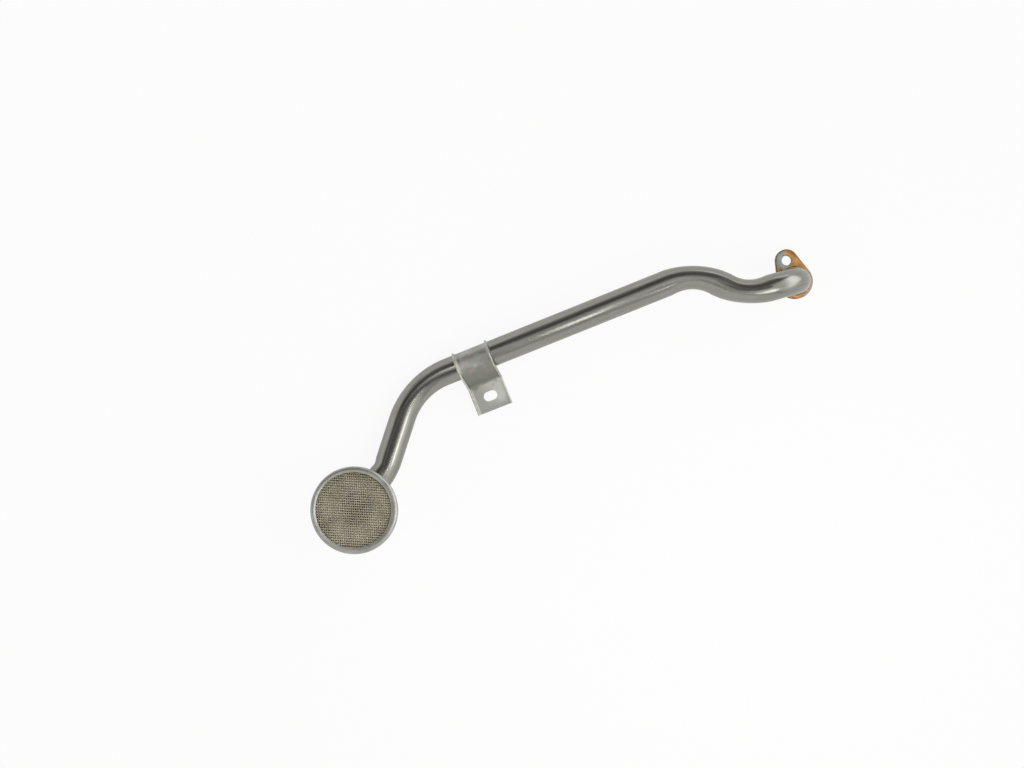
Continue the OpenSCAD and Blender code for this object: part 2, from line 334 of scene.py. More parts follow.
def feed(tree, socket, value):
    """Links an input to a socket, or sets it to a value."""
    if isinstance(value, bpy.types.NodeSocket):
        tree.links.new(value, socket)
    else:
        socket.default_value = value


def add(tree, kind, inputs=None, **settings):
    """New node with its settings, and with its inputs fed by name or number."""
    node = tree.nodes.new(kind)
    for key, value in settings.items():
        setattr(node, key, value)
    for key, value in (inputs or {}).items():
        feed(tree, node.inputs[key], value)
    return node


def calc(tree, operation, *values):
    """Result of a maths node."""
    return add(tree, "ShaderNodeMath", dict(enumerate(values)), operation=operation).outputs[0]


def product(tree, first, *others):
    """Values multiplied with each other."""
    for other in others:
        first = calc(tree, "MULTIPLY", first, other)
    return first


def total(tree, first, second):
    """Sum of two values."""
    return calc(tree, "ADD", first, second)


def vector(tree, operation, first, second):
    """Vector that vector maths gives."""
    return add(tree, "ShaderNodeVectorMath", {0: first, 1: second}, operation=operation).outputs[0]


def measure(tree, operation, *vectors):
    """Number that vector maths gives."""
    return add(tree, "ShaderNodeVectorMath", dict(enumerate(vectors)), operation=operation).outputs["Value"]


def xyz(tree, **parts):
    """Vector of the given parts."""
    return add(tree, "ShaderNodeCombineXYZ", parts).outputs[0]


def xyz_parts(tree, value):
    """Sockets of a vector's parts, by name."""
    return add(tree, "ShaderNodeSeparateXYZ", {"Vector": value}).outputs


def named(tree, name, kind="FLOAT"):
    """Values of a named attribute."""
    return add(tree, "GeometryNodeInputNamedAttribute", {"Name": name}, data_type=kind).outputs["Attribute"]


def stored(tree, geometry, name, value, kind="FLOAT"):
    """Geometry with values kept under a name."""
    entry = {"Geometry": geometry, "Name": name, "Value": value}
    return add(tree, "GeometryNodeStoreNamedAttribute", entry, data_type=kind, domain="POINT").outputs[0]


def joined(tree, *parts):
    """Geometry of several parts."""
    node = add(tree, "GeometryNodeJoinGeometry")
    for part in parts:
        tree.links.new(part, node.inputs[0])
    return node.outputs[0]


def sizes_tree(name, floats, counts):
    """Geometry node tree with named size inputs; returns it with its input sockets."""
    tree = bpy.data.node_groups.new(name, "GeometryNodeTree")
    face = tree.interface
    face.new_socket("Geometry", in_out="INPUT", socket_type="NodeSocketGeometry")
    face.new_socket("Geometry", in_out="OUTPUT", socket_type="NodeSocketGeometry")
    face.new_socket("Material", in_out="INPUT", socket_type="NodeSocketMaterial")
    for label in floats:
        face.new_socket(label, in_out="INPUT", socket_type="NodeSocketFloat")
    for label in counts:
        face.new_socket(label, in_out="INPUT", socket_type="NodeSocketInt")
    return tree, add(tree, "NodeGroupInput").outputs


def close_tree(tree, geometry, material):
    """Ends a geometry tree: instances made real, smooth shading and the piece's material."""
    real = add(tree, "GeometryNodeRealizeInstances", {"Geometry": geometry})
    smooth = add(tree, "GeometryNodeSetShadeSmooth", {"Geometry": real.outputs[0]})
    dressed = add(tree, "GeometryNodeSetMaterial", {"Geometry": smooth.outputs[0], "Material": material})
    add(tree, "NodeGroupOutput", {"Geometry": dressed.outputs[0]})


def apply_tree(source, tree, values, name):
    """Plain piece that a geometry tree makes of a source object, with its named inputs set."""
    modifier = source.modifiers.new(tree.name, "NODES")
    modifier.node_group = tree
    for item in tree.interface.items_tree:
        if item.in_out == "INPUT" and item.name in values:
            modifier[item.identifier] = values[item.name]
    return plain_mesh(source, name)


# Pickup tube

def swept_wall(tree, path, radius, sides, scale):
    """Wall swept along a path and drawn in at its bends; keeps its place in the round section as an attribute."""
    ring = {"Resolution": sides, "Radius": radius}
    ring = add(tree, "GeometryNodeCurvePrimitiveCircle", ring).outputs["Curve"]
    spot = add(tree, "GeometryNodeInputPosition").outputs[0]
    ring = stored(tree, ring, "section", spot, "FLOAT_VECTOR")
    sweep = {"Curve": path, "Profile Curve": ring, "Scale": scale}
    wall = add(tree, "GeometryNodeCurveToMesh", sweep).outputs[0]
    inward = named(tree, "inward", "FLOAT_VECTOR")
    outwards = vector(tree, "SUBTRACT", spot, named(tree, "centre", "FLOAT_VECTOR"))
    depth = measure(tree, "DOT_PRODUCT", outwards, inward)
    inner = product(tree, calc(tree, "GREATER_THAN", depth, 0), named(tree, "drawn_inner"))
    outer = product(tree, calc(tree, "LESS_THAN", depth, 0), named(tree, "drawn_outer"))
    pull = product(tree, total(tree, inner, outer), product(tree, depth, -1))
    move = add(tree, "ShaderNodeVectorMath", {0: inward, "Scale": pull}, operation="SCALE").outputs[0]
    return add(tree, "GeometryNodeSetPosition", {"Geometry": wall, "Offset": move}).outputs[0]


def tube_tree():
    """Tree that sweeps the tube's outer wall and bore along a chain of edges."""
    tree, given = sizes_tree("bent_tube", ["Outer radius", "Bore radius"], ["Sides"])
    line = add(tree, "GeometryNodeMeshToCurve", {"Mesh": given["Geometry"]}).outputs[0]
    line = stored(tree, line, "along", add(tree, "GeometryNodeSplineParameter").outputs["Length"])
    line = stored(tree, line, "centre", add(tree, "GeometryNodeInputPosition").outputs[0], "FLOAT_VECTOR")
    outer = swept_wall(tree, line, given["Outer radius"], given["Sides"], named(tree, "girth"))
    bore = swept_wall(tree, line, given["Bore radius"], given["Sides"], 1)
    close_tree(tree, joined(tree, outer, bore), given["Material"])
    return tree


def pickup_tube(stations, material):
    """Bent tube with its sized spigot and an open bore."""
    points, girths, inwards, inners, outers = zip(*stations)
    mesh = bpy.data.meshes.new("route")
    mesh.from_pydata(points, [(k, k + 1) for k in range(len(points) - 1)], [])
    for name, values in {"girth": girths, "drawn_inner": inners, "drawn_outer": outers}.items():
        mesh.attributes.new(name, "FLOAT", "POINT").data.foreach_set("value", values)
    directions = [value for inward in inwards for value in inward]
    mesh.attributes.new("inward", "FLOAT_VECTOR", "POINT").data.foreach_set("vector", directions)
    sizes = {"Outer radius": TUBE_R, "Bore radius": BORE_R, "Sides": TUBE_SIDES, "Material": material}
    piece = apply_tree(new_piece("route", mesh), tube_tree(), sizes, "bright_tube")
    for name in ("girth", "drawn_inner", "drawn_outer", "inward", "centre"):
        piece.data.attributes.remove(piece.data.attributes[name])
    close_tube_ends(piece.data)
    return piece


def close_tube_ends(mesh):
    """Joins bore and outer wall at both ends and turns the faces outwards."""
    shell = bmesh.new()
    shell.from_mesh(mesh)
    rims = [edge for edge in shell.edges if edge.is_boundary]
    spigot_rims = [edge for edge in rims if edge.verts[0].co.z < FLOOR_Z + SPIGOT_LEAD_IN]
    cup_rims = [edge for edge in rims if edge.verts[0].co.z > 0]
    for pair in (spigot_rims, cup_rims):
        bmesh.ops.bridge_loops(shell, edges=pair)
    bmesh.ops.recalc_face_normals(shell, faces=shell.faces)
    shell.to_mesh(mesh)
    shell.free()
    soft_shaded(mesh)


# Mounting flange

def teardrop(inset):
    """Outline of the flange's two round ends and their common tangents, drawn in by an inset."""
    ear = BOLT_CENTRE.xy
    way = math.degrees(math.atan2(ear.y, ear.x))
    lean = math.degrees(math.acos((FLANGE_END_R - FLANGE_EAR_R) / ear.length))
    small = arc(ear, FLANGE_EAR_R - inset, way - lean, way + lean, 3 * FOLD_STEPS)
    large = arc((0, 0), FLANGE_END_R - inset, way + lean, way + 360 - lean, 6 * FOLD_STEPS)
    small_start = arc(ear, FLANGE_EAR_R - inset, 0, way - lean, 1)
    large_start = arc((0, 0), FLANGE_END_R - inset, 0, way + lean, 1)
    return small_start + small + large_start + large


def circle(centre, radius):
    """Closed circle of points, turning the other way from an outline."""
    return arc(centre, radius, 0, -360, 6 * FOLD_STEPS)


def edge_steps(height, edge):
    """(inset, level) of the rings up a wall with rounded edges."""
    steps = FOLD_STEPS // 2
    angles = [math.pi / 2 * k / steps for k in range(steps + 1)]
    low = [(edge * (1 - math.sin(a)), edge * (1 - math.cos(a))) for a in angles]
    return low + [(inset, height - level) for inset, level in reversed(low)]


def mounting_flange():
    """Stamped plate with rounded edges, a hole for the tube and a bolt hole."""
    def build(shell):
        steps = edge_steps(FLANGE_T, FLANGE_EDGE)
        shapes = [
            teardrop,
            lambda inset: circle((0, 0), FIT_R + inset * TUBE_HOLE_EDGE),
            lambda inset: circle(BOLT_CENTRE.xy, BOLT_HOLE_R + inset * BOLT_HOLE_EDGE),
        ]
        walls = []
        for shape in shapes:
            rings = [[(x, y, z) for x, y in shape(inset)] for inset, z in steps]
            walls.append(add_rings(shell, rings))
        for end in (0, -1):
            edges = [edge for wall in walls for edge in loop_edges(wall[end])]
            bmesh.ops.triangle_fill(shell, use_beauty=True, edges=edges)
    return closed_piece("stamped_flange", build)


# Braze rings

def braze_ring(name, axis, level, size, up, seed):
    """Ring of brazing metal in the corner of a tube and a plate, a little uneven round its edge."""
    random = np.random.default_rng(seed)
    waves = [(n, random.uniform(*BRAZE_WAVE_SHARES), random.uniform(0, 2 * math.pi)) for n in BRAZE_WAVES]

    def profile_at(a):
        spread = size * (BRAZE_SPREAD + sum(share * math.sin(n * a + lag) for n, share, lag in waves))
        hollow = arc((TUBE_R + spread, spread), spread, 270, 180)
        points = [(TUBE_R, 0), (TUBE_R + spread, 0), *hollow]
        return [(r, level + up * z) for r, z in points]
    return lathe(name, axis, profile_at)


# Support bracket

def strap_line():
    """(side, up, normal side, normal up) along the strap's inner face, from its start to the tab's end."""
    stations = []
    for degrees in np.linspace(WRAP_START, WRAP_END, 4 * FOLD_STEPS + 1):
        c, s = math.cos(math.radians(degrees)), math.sin(math.radians(degrees))
        stations.append((FIT_R * c, FIT_R * s, c, s))
    side, up, c, s = stations[-1]
    side, up = side + WEB_LEN * s, up - WEB_LEN * c
    fold_r = TAB_FOLD_R + STRAP_T
    centre_side, centre_up = side + fold_r * c, up + fold_r * s
    for degrees in np.linspace(WRAP_END, 90, 2 * FOLD_STEPS + 1):
        c, s = math.cos(math.radians(degrees)), math.sin(math.radians(degrees))
        stations.append((centre_side - fold_r * c, centre_up - fold_r * s, c, s))
    side, up, c, s = stations[-1]
    stations.append((side + TAB_LEN, up, c, s))
    return stations


def strap_section():
    """Closed outline of the folded channel: (height from the inner face, place along the tube)."""
    edge = STRAP_W / 2
    outer = LIP_FOLD_R + STRAP_T
    top = STRAP_T + LIP_H
    fold = (outer, edge - outer)
    half = [(0, fold[1])]
    half += arc(fold, outer, 180, 90)
    half += [(top - LIP_EDGE, edge)]
    half += arc((top - LIP_EDGE, edge - LIP_EDGE), LIP_EDGE, 90, 0, LIP_EDGE_STEPS)
    half += [(top, edge - STRAP_T + LIP_EDGE)]
    half += arc((top - LIP_EDGE, edge - STRAP_T + LIP_EDGE), LIP_EDGE, 0, -90, LIP_EDGE_STEPS)
    half += [(fold[0], edge - STRAP_T)]
    half += arc(fold, LIP_FOLD_R, 90, 180)
    return half + [(x, -y) for x, y in reversed(half)]


def strap_frame(bends):
    """Middle of the strap on the tube's axis, and its directions: along the tube, to the side and up."""
    run_end, way = bends[RUN_INDEX][:2]
    middle = run_end - way * STRAP_FROM_BEND
    up = (Vector((0, 0, 1)) - way * way.z).normalized()
    side = SLOT_CENTRE - middle
    side = (side - way * side.dot(way) - up * side.dot(up)).normalized()
    return middle, way, side, up


def support_bracket(middle, way, side, up):
    """Channel strap bent over the tube, with its sloping web and slotted tab. Keeps as an attribute where its lips
    carry a painted highlight."""
    section = strap_section()
    highlight_from = STRAP_T + LIP_H / 2

    def build(shell):
        rings = []
        for s, u, ns, nu in strap_line():
            foot = middle + side * s + up * u
            normal = side * ns + up * nu
            rings.append([foot + normal * x + way * y for x, y in section])
        # Marks the lip tops, where the finish paints a highlight
        lip_highlight = shell.verts.layers.float.new("lip_highlight")
        loops = add_rings(shell, rings)
        for loop in loops:
            for corner, (x, y) in zip(loop, section):
                corner[lip_highlight] = float(x > highlight_from)
        for loop in (loops[0], loops[-1]):
            shell.faces.new(loop)

    strap = closed_piece("strap_blank", build)
    punch = slot_punch(way, side, up)
    cut = strap.modifiers.new("slot", "BOOLEAN")
    cut.operation = "DIFFERENCE"
    cut.solver = "EXACT"
    cut.object = punch
    piece = plain_mesh(strap, "strap_bracket")
    bpy.data.objects.remove(punch)
    soft_shaded(piece.data)
    return piece


def slot_punch(way, side, up):
    """Punch with round ends that cuts the bolt slot through the tab."""
    reach = SLOT_LEN / 2 - SLOT_R
    outline = arc((reach, 0), SLOT_R, -90, 90, 2 * FOLD_STEPS)
    outline += arc((-reach, 0), SLOT_R, 90, 270, 2 * FOLD_STEPS)

    def build(shell):
        flat_points = [SLOT_CENTRE + way * x + side * y for x, y in outline]
        levels = (-2 * STRAP_T, 2 * STRAP_T)
        loops = add_rings(shell, [[point + up * level for point in flat_points] for level in levels])
        for loop in loops:
            shell.faces.new(loop)
    return closed_piece("slot_punch", build)


# Strainer cup

def rim_crest(hem, roll_r, lip):
    """Angle at which the rim leaves its roll to run straight to the lip's edge."""
    across, rise = hem[0] - lip[0], hem[1] - lip[1]
    turn = math.acos((RIM_EDGE_R - roll_r) / math.hypot(across, rise))
    return math.degrees(math.atan2(rise, across) + turn)


def cup_profile(reach):
    """Closed outline of the pressed sheet: collar, back, wall, ledge and the rim folded over the screen by a
    reach."""
    collar_r = FIT_R + CUP_T
    hem = (SCREEN_EDGE_R, LEDGE_Z + RIM_POCKET / 2)
    lip_z = LEDGE_Z + RIM_POCKET
    lip = (SCREEN_EDGE_R - reach + RIM_EDGE_R, lip_z + RIM_EDGE_R)
    roll_r = RIM_POCKET / 2 + CUP_T
    crest = rim_crest(hem, roll_r, lip)
    collar_fold = (collar_r + COLLAR_FOLD_R, CUP_BACK_Z - COLLAR_FOLD_R)
    back_fold = (CUP_WALL_R - CUP_CORNER_R, CUP_BACK_Z + CUP_CORNER_R)
    ledge_fold = (CUP_WALL_R + LEDGE_FOLD_R, LEDGE_Z - CUP_T - LEDGE_FOLD_R)
    outside = [(FIT_R, COLLAR_END_Z), (collar_r, COLLAR_END_Z), (collar_r, collar_fold[1])]
    outside += arc(collar_fold, COLLAR_FOLD_R, 180, 90)
    outside += [(back_fold[0], CUP_BACK_Z)]
    outside += arc(back_fold, CUP_CORNER_R, 270, 360)
    outside += [(CUP_WALL_R, ledge_fold[1])]
    outside += arc(ledge_fold, LEDGE_FOLD_R, 180, 90)
    outside += [(SCREEN_EDGE_R, LEDGE_Z - CUP_T)]
    outside += arc(hem, roll_r, -90, crest, 2 * FOLD_STEPS)
    outside += arc(lip, RIM_EDGE_R, 0, crest, 1)
    outside += arc(lip, RIM_EDGE_R, crest, 270)
    inside = [(SCREEN_EDGE_R, lip_z)]
    inside += arc(hem, RIM_POCKET / 2, 90, -90)
    inside += [(ledge_fold[0], LEDGE_Z)]
    inside += arc(ledge_fold, LEDGE_FOLD_R + CUP_T, 90, 180)
    inside += [(CUP_WALL_R - CUP_T, back_fold[1])]
    inside += arc(back_fold, CUP_CORNER_R - CUP_T, 360, 270)
    inside += [(collar_fold[0], CUP_BACK_Z + CUP_T)]
    inside += arc(collar_fold, COLLAR_FOLD_R + CUP_T, 90, 180)
    return outside + inside


def strainer_cup():
    """Pressed cup with its rolled rim, whose lip reaches less far in on one side."""
    def profile_at(a):
        return cup_profile(RIM_REACH - RIM_UNEVEN * math.cos(a - RIM_SHORT_SIDE))
    return lathe("pressed_cup", (CUP_X, CUP_Y), profile_at)


# Woven screen

def wire_layer(tree, given, own, crossing):
    """Wires side by side along X, cut to a disc and crimped over and under the crossing wires."""
    pitch, wave = given[own + " pitch"], given[crossing + " pitch"]
    count = given[own + " wires"]
    line = add(tree, "GeometryNodeCurvePrimitiveLine", {"Start": (-1, 0, 0), "End": (1, 0, 0)})
    first = product(tree, calc(tree, "SUBTRACT", count, 1), -0.5, pitch)
    rows = {"Count": count, "Start Location": xyz(tree, Y=first), "Offset": xyz(tree, Y=pitch)}
    rows = add(tree, "GeometryNodeMeshLine", rows)
    laid = {"Points": rows.outputs[0], "Instance": line.outputs[0]}
    wires = add(tree, "GeometryNodeInstanceOnPoints", laid).outputs[0]
    wires = add(tree, "GeometryNodeRealizeInstances", {"Geometry": wires}).outputs[0]
    spot = xyz_parts(tree, add(tree, "GeometryNodeInputPosition").outputs[0])
    squares = [calc(tree, "POWER", value, 2) for value in (given["Disc radius"], spot["Y"])]
    reach = calc(tree, "SQRT", calc(tree, "SUBTRACT", *squares))
    on_disc = xyz(tree, X=product(tree, spot["X"], reach), Y=spot["Y"])
    wires = add(tree, "GeometryNodeSetPosition", {"Geometry": wires, "Position": on_disc}).outputs[0]
    cut = {"Curve": wires, "Length": calc(tree, "DIVIDE", wave, STEPS_PER_CROSSING)}
    wires = add(tree, "GeometryNodeResampleCurve", cut, mode="LENGTH").outputs[0]
    turns = [product(tree, calc(tree, "DIVIDE", spot[axis], size), math.pi)
             for axis, size in (("X", wave), ("Y", pitch))]
    waves = [calc(tree, "COSINE", turn) for turn in turns]
    rise = xyz(tree, Z=product(tree, *waves, given[own + " crimp"]))
    wires = add(tree, "GeometryNodeSetPosition", {"Geometry": wires, "Offset": rise}).outputs[0]
    half = calc(tree, "DIVIDE", given[own + " wire"], 2)
    ring = add(tree, "GeometryNodeCurvePrimitiveCircle", {"Resolution": WIRE_SIDES, "Radius": half})
    sweep = {"Curve": wires, "Profile Curve": ring.outputs["Curve"], "Fill Caps": True}
    return add(tree, "GeometryNodeCurveToMesh", sweep).outputs[0]


def weave_tree():
    """Tree that weaves a round wire screen and sets it in its place."""
    layers = [f"{layer} {size}" for layer in ("Row", "Column") for size in ("pitch", "wire", "crimp")]
    floats = ["Disc radius", *layers, "Turn", "Centre X", "Centre Y", "Level"]
    tree, given = sizes_tree("woven_screen", floats, ["Row wires", "Column wires"])
    rows = wire_layer(tree, given, "Row", "Column")
    columns = wire_layer(tree, given, "Column", "Row")
    quarter_turn = {"Geometry": columns, "Rotation": (0, 0, math.pi / 2)}
    columns = add(tree, "GeometryNodeTransform", quarter_turn).outputs[0]
    centre = xyz(tree, X=given["Centre X"], Y=given["Centre Y"], Z=given["Level"])
    turn = xyz(tree, Z=given["Turn"])
    set_in = {"Geometry": joined(tree, rows, columns), "Rotation": turn, "Translation": centre}
    close_tree(tree, add(tree, "GeometryNodeTransform", set_in).outputs[0], given["Material"])
    return tree


def wire_count(radius, wire, pitch):
    """Odd number of wires, one of them through the middle."""
    return 2 * math.floor((radius - wire) / pitch) + 1


def woven_screen(material):
    """Fine wire screen held in the folded rim."""
    radius = SCREEN_EDGE_R - WIRE_INSET
    sizes = {
        "Disc radius": radius,
        "Row pitch": ROW_PITCH,
        "Row wire": ROW_WIRE_D,
        "Row crimp": ROW_CRIMP,
        "Column pitch": COLUMN_PITCH,
        "Column wire": COLUMN_WIRE_D,
        "Column crimp": -COLUMN_CRIMP,
        "Turn": math.radians(WEAVE_TURN),
        "Centre X": CUP_X,
        "Centre Y": CUP_Y,
        "Level": LEDGE_Z + RIM_POCKET / 2,
        "Row wires": wire_count(radius, ROW_WIRE_D, ROW_PITCH),
        "Column wires": wire_count(radius, COLUMN_WIRE_D, COLUMN_PITCH),
        "Material": material,
    }
    return apply_tree(new_piece("weave", bpy.data.meshes.new("weave")), weave_tree(), sizes, "woven_screen")


# Finishes

TUBE_DARK = (0.29, 0.288, 0.262, 1)
TUBE_LIGHT = (0.35, 0.348, 0.325, 1)
TUBE_STAIN = (0.275, 0.262, 0.228, 1)
TUBE_SCUFF = (0.5, 0.49, 0.46, 1)
# How far the streaks' pattern moves on with each metre of tube
STREAK_DRIFT = 0.04
STRAP_DARK = (0.36, 0.36, 0.335, 1)
STRAP_LIGHT = (0.52, 0.52, 0.49, 1)
TAB_PLAIN = (0.49, 0.49, 0.455, 1)
# Painted sheen: lighter tab colour towards one end
TAB_SHEEN = (0.76, 0.76, 0.715, 1)
TAB_END = (0.48, 0.48, 0.45, 1)
# Painted shade: darker colour for the sloping web, which faces away from the light
WEB_SHADE = (0.28, 0.285, 0.25, 1)
SADDLE_BLOOM = (0.42, 0.35, 0.31, 1)
SADDLE_BLOOM_AT = math.radians(60)
# Painted highlight on the lip tops
LIP_HIGHLIGHT = (0.68, 0.67, 0.6, 1)
CUP_DARK = (0.37, 0.37, 0.335, 1)
CUP_LIGHT = (0.5, 0.5, 0.46, 1)
CUP_OIL_DARK = (0.58, 0.54, 0.4, 1)
CUP_OIL_LIGHT = (0.8, 0.755, 0.6, 1)
COPPER_DARK = (0.4, 0.2, 0.067, 1)
COPPER_LIGHT = (0.77, 0.425, 0.18, 1)
SEAT_DARK = (0.25, 0.27, 0.25, 1)
SEAT_LIGHT = (0.42, 0.44, 0.41, 1)
SEAT_COPPER_WAY = (0.9, 0.43, 0)
FLANGE_RUBBED = (0.46, 0.45, 0.42, 1)
FLANGE_RUBBED_WAY = (0.97, -0.24, 0)
EAR_TIP_BROWN = (0.2, 0.1, 0.045, 1)
EAR_TIP_WAY = (0.45, 0.89, 0)
# Painted shade along the flange's rounded edges
EDGE_SHADE = (0.07, 0.045, 0.025, 1)
# Share of the ragged fringe that the painted edge shade follows
EDGE_FRINGE = 0.4
BRAZE_DARK = (0.25, 0.13, 0.05, 1)
BRAZE_LIGHT = (0.52, 0.3, 0.14, 1)
WIRE_DARK = (0.52, 0.485, 0.38, 1)
WIRE_LIGHT = (0.65, 0.615, 0.505, 1)


def new_finish(name):
    """Material with a bare metal shader; returns it with its tree, the shader's inputs and object coordinates."""
    material = bpy.data.materials.new(name)
    material.use_nodes = True
    tree = material.node_tree
    skin = tree.nodes["Principled BSDF"].inputs
    skin["Metallic"].default_value = 1
    return material, tree, skin, add(tree, "ShaderNodeTexCoord").outputs["Object"]


def kept(tree, name, kind):
    """Values that a piece keeps as an attribute."""
    return add(tree, "ShaderNodeAttribute", attribute_name=name).outputs[kind]


def blotches(tree, coords, scale, detail=4, low=0.35, high=0.65):
    """Soft noise from 0 to 1, with the values between low and high spread out."""
    noise = add(tree, "ShaderNodeTexNoise", {"Vector": coords, "Scale": scale, "Detail": detail})
    spread = {"Value": noise.outputs[0], "From Min": low, "From Max": high}
    return add(tree, "ShaderNodeMapRange", spread).outputs[0]


def ragged(tree, coords, width, **noise):
    """Distance that moves a border to and fro within a width."""
    return product(tree, calc(tree, "SUBTRACT", blotches(tree, coords, **noise), 0.5), width)


def mixed(tree, factor, first, second):
    """Colour between two colours, which a mix node takes in sockets 6 and 7 and gives in socket 2."""
    return add(tree, "ShaderNodeMix", {0: factor, 6: first, 7: second}, data_type="RGBA").outputs[2]


def tinted(tree, colour, mask, tint, share):
    """Colour that goes over to a tint by a share where a mask is 1."""
    return mixed(tree, product(tree, mask, share), colour, tint)


def weighed(tree, first, second, share):
    """A share of one value and the rest of another."""
    return total(tree, product(tree, first, share), product(tree, second, 1 - share))


def ranged(tree, factor, low, high):
    """A factor from 0 to 1, brought to another range."""
    return add(tree, "ShaderNodeMapRange", {"Value": factor, "To Min": low, "To Max": high}).outputs[0]


def soft_step(tree, value, start, full):
    """0 before start and 1 past full, with a soft step between."""
    step = {"Value": value, "From Min": start, "From Max": full}
    return add(tree, "ShaderNodeMapRange", step, interpolation_type="SMOOTHSTEP").outputs[0]


def window(tree, value, start, full, full_end, end):
    """1 where a value lies between full and full_end, falling softly to 0 at start and end."""
    return product(tree, soft_step(tree, value, start, full), soft_step(tree, value, end, full_end))


def bumped(tree, skin, height, strength, distance):
    """Fine relief of the surface."""
    bump = {"Height": height, "Strength": strength, "Distance": distance}
    feed(tree, skin["Normal"], add(tree, "ShaderNodeBump", bump).outputs[0])


def tube_finish():
    """Bright drawn steel with fine streaks along the tube, faint stains and small pale scuffs."""
    material, tree, skin, coords = new_finish("drawn_tube_steel")
    drift = xyz(tree, Z=product(tree, kept(tree, "along", "Fac"), STREAK_DRIFT))
    lengthwise = vector(tree, "ADD", kept(tree, "section", "Vector"), drift)
    streaks = blotches(tree, lengthwise, scale=900, detail=5)
    stains = blotches(tree, coords, scale=70, detail=5)
    scuffs = blotches(tree, coords, scale=240, detail=3, low=0.71, high=0.76)
    colour = mixed(tree, streaks, TUBE_DARK, TUBE_LIGHT)
    colour = tinted(tree, colour, stains, TUBE_STAIN, share=0.4)
    feed(tree, skin["Base Color"], tinted(tree, colour, scuffs, TUBE_SCUFF, share=0.6))
    rough = ranged(tree, weighed(tree, streaks, stains, share=0.5), low=0.16, high=0.26)
    scuffed = ranged(tree, scuffs, low=0, high=0.15)
    feed(tree, skin["Roughness"], total(tree, rough, scuffed))
    bumped(tree, skin, streaks, strength=0.12, distance=0.02 * MM)
    return material


def sheet_clouds(tree, skin, coords, dark, light, smooth, rough):
    """Satin pressed sheet: cloudy colour and roughness, and a fine grain."""
    clouds = blotches(tree, coords, scale=110, detail=6)
    specks = blotches(tree, coords, scale=900, detail=3)
    feed(tree, skin["Roughness"], ranged(tree, weighed(tree, clouds, specks, share=0.6), smooth, rough))
    bumped(tree, skin, specks, strength=0.25, distance=0.02 * MM)
    return mixed(tree, clouds, dark, light)


def bracket_finish(middle, way, side, up):
    """Satin sheet with painted shade on the web and a painted sheen towards one end of the tab, a copper bloom on
    the saddle and a painted highlight along the lips."""
    material, tree, skin, coords = new_finish("bracket_steel")
    colour = sheet_clouds(tree, skin, coords, STRAP_DARK, STRAP_LIGHT, smooth=0.38, rough=0.52)
    from_tube = vector(tree, "SUBTRACT", coords, middle)
    sideways = measure(tree, "DOT_PRODUCT", from_tube, side)
    sideways = total(tree, sideways, ragged(tree, coords, 4 * MM, scale=160))
    # Painted sheen: the tab is coloured lighter towards one end along the tube, and plainer again near its tip
    tab_sheen = soft_step(tree, measure(tree, "DOT_PRODUCT", from_tube, way), start=9 * MM, full=-12 * MM)
    tab = mixed(tree, tab_sheen, TAB_PLAIN, TAB_SHEEN)
    tab = mixed(tree, soft_step(tree, sideways, start=30 * MM, full=38 * MM), tab, TAB_END)
    colour = mixed(tree, soft_step(tree, sideways, start=18 * MM, full=22 * MM), colour, tab)
    # Painted shade across the sloping web
    web_shade = window(tree, sideways, start=2 * MM, full=6 * MM, full_end=17 * MM, end=22 * MM)
    colour = mixed(tree, web_shade, colour, WEB_SHADE)
    bloom_spot = middle + up * FIT_R * math.sin(SADDLE_BLOOM_AT) + side * FIT_R * math.cos(SADDLE_BLOOM_AT)
    bloom = soft_step(tree, measure(tree, "DISTANCE", coords, bloom_spot), start=18 * MM, full=6 * MM)
    bloom = product(tree, bloom, blotches(tree, coords, scale=180, low=0.46, high=0.64))
    colour = tinted(tree, colour, bloom, SADDLE_BLOOM, share=0.55)
    # Painted highlight along the lip tops, broken into patches and weaker where the tab's painted sheen is
    patches = blotches(tree, coords, scale=300, detail=3, low=0.2, high=0.5)
    lip_highlight = product(tree, kept(tree, "lip_highlight", "Fac"), patches, ranged(tree, tab_sheen, low=1, high=0.6))
    feed(tree, skin["Base Color"], mixed(tree, lip_highlight, colour, LIP_HIGHLIGHT))
    return material


def cup_finish():
    """Satin sheet, stained with oil inside the cup."""
    material, tree, skin, coords = new_finish("cup_steel")
    colour = sheet_clouds(tree, skin, coords, CUP_DARK, CUP_LIGHT, smooth=0.36, rough=0.48)
    spot = vector(tree, "SUBTRACT", coords, (CUP_X, CUP_Y, 0))
    away = measure(tree, "LENGTH", vector(tree, "MULTIPLY", spot, (1, 1, 0)))
    inner_r = CUP_WALL_R - CUP_T
    within = soft_step(tree, away, start=inner_r + 0.5 * MM, full=inner_r + 0.2 * MM)
    level = xyz_parts(tree, spot)["Z"]
    above = soft_step(tree, level, start=CUP_BACK_Z + CUP_T * 0.3, full=CUP_BACK_Z + CUP_T * 0.8)
    oil = mixed(tree, blotches(tree, coords, scale=150), CUP_OIL_DARK, CUP_OIL_LIGHT)
    feed(tree, skin["Base Color"], mixed(tree, product(tree, within, above), colour, oil))
    return material


